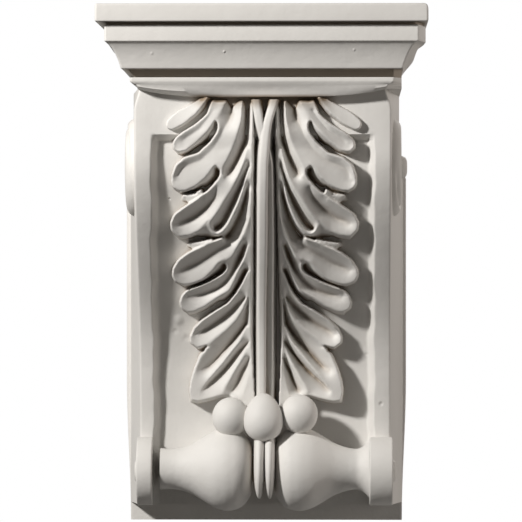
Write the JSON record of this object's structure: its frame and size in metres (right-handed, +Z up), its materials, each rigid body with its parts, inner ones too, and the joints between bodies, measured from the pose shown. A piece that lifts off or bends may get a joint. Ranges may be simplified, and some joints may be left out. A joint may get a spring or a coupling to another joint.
{
  "type": "scroll corbel",
  "caption": "Console-shaped corbel with a moulded cap, a sunk front panel carved with acanthus leaves beside a stem, berries, and a scroll at the foot.",
  "frame": {"origin": "middle of the flat back face, where the corbel stands against the wall", "axes": "+X to the right in a front view; +Y into the wall; +Z up"},
  "size_m": [0.2238, 0.165, 0.356],
  "materials": {
    "casting": "primed, matt off-white"
  },
  "bodies": {
    "root": {"corbel": "casting"}
  },
  "joints": []
}
